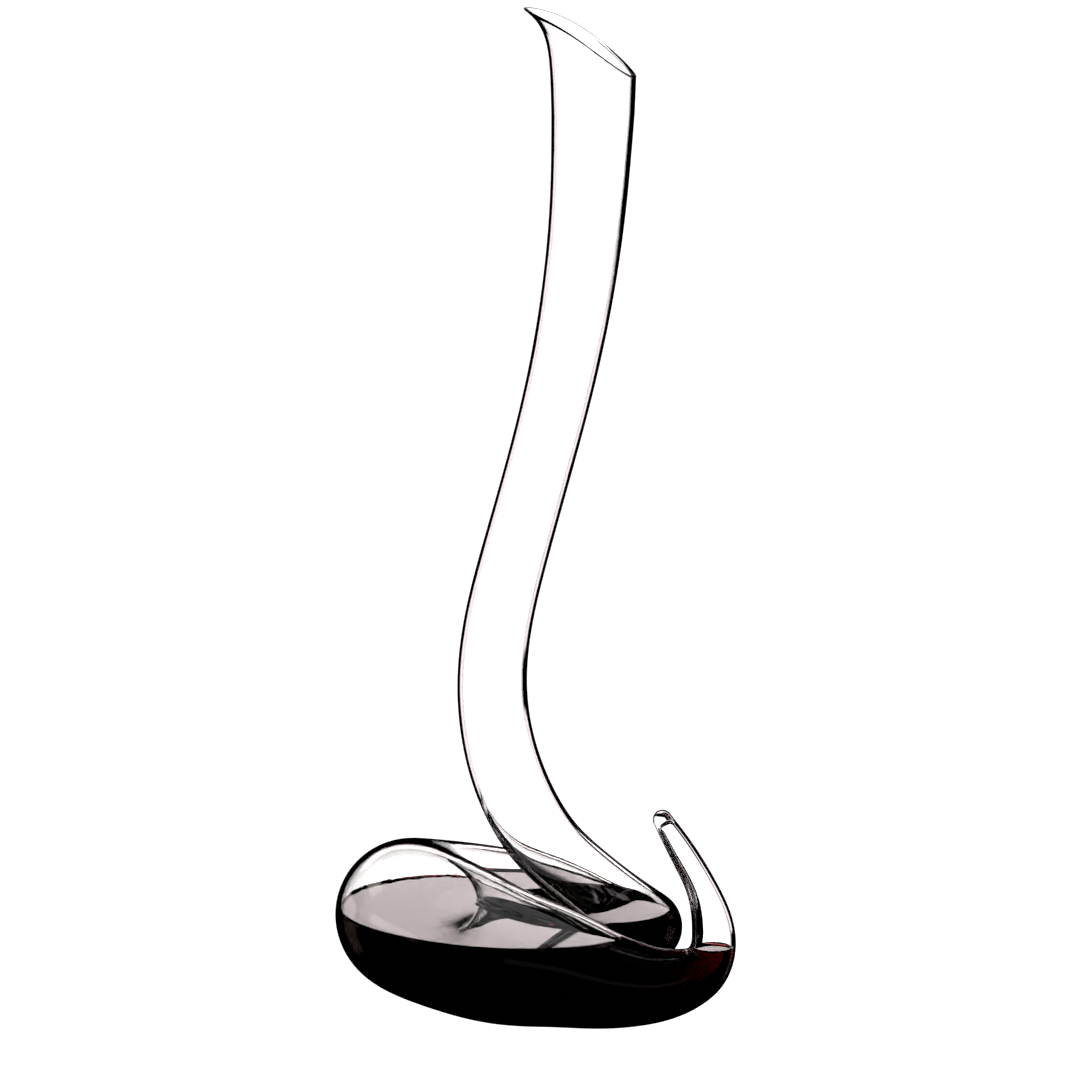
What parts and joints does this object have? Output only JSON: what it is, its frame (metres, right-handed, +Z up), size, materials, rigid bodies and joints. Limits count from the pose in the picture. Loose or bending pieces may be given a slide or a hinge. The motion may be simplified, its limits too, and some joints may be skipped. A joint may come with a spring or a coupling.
{
  "type": "wine decanter",
  "caption": "Tall free-blown glass wine decanter: a slanted pouring lip, an S-shaped neck, an open coil holding red wine, and a closed tail that curls up.",
  "frame": {"origin": "on the floor, under the middle of the bounding box", "axes": "+Z up along the neck, +X towards the tail's side of the coil, +Y from the front run of the coil to the back run"},
  "size_m": [0.1962, 0.1734, 0.497],
  "materials": {
    "glass": "clear, fire-polished",
    "wine": "deep red liquid"
  },
  "bodies": {
    "root": {"mouth_lip": "glass", "upper_neck": "glass", "middle_neck": "glass", "lower_neck": "glass", "neck_bend": "glass", "coil_back": "glass", "coil_left_rear": "glass", "coil_left_front": "glass", "coil_front": "glass", "tail_root": "glass", "tail_stem": "glass", "tail_tip": "glass", "wine": "wine"}
  },
  "joints": []
}
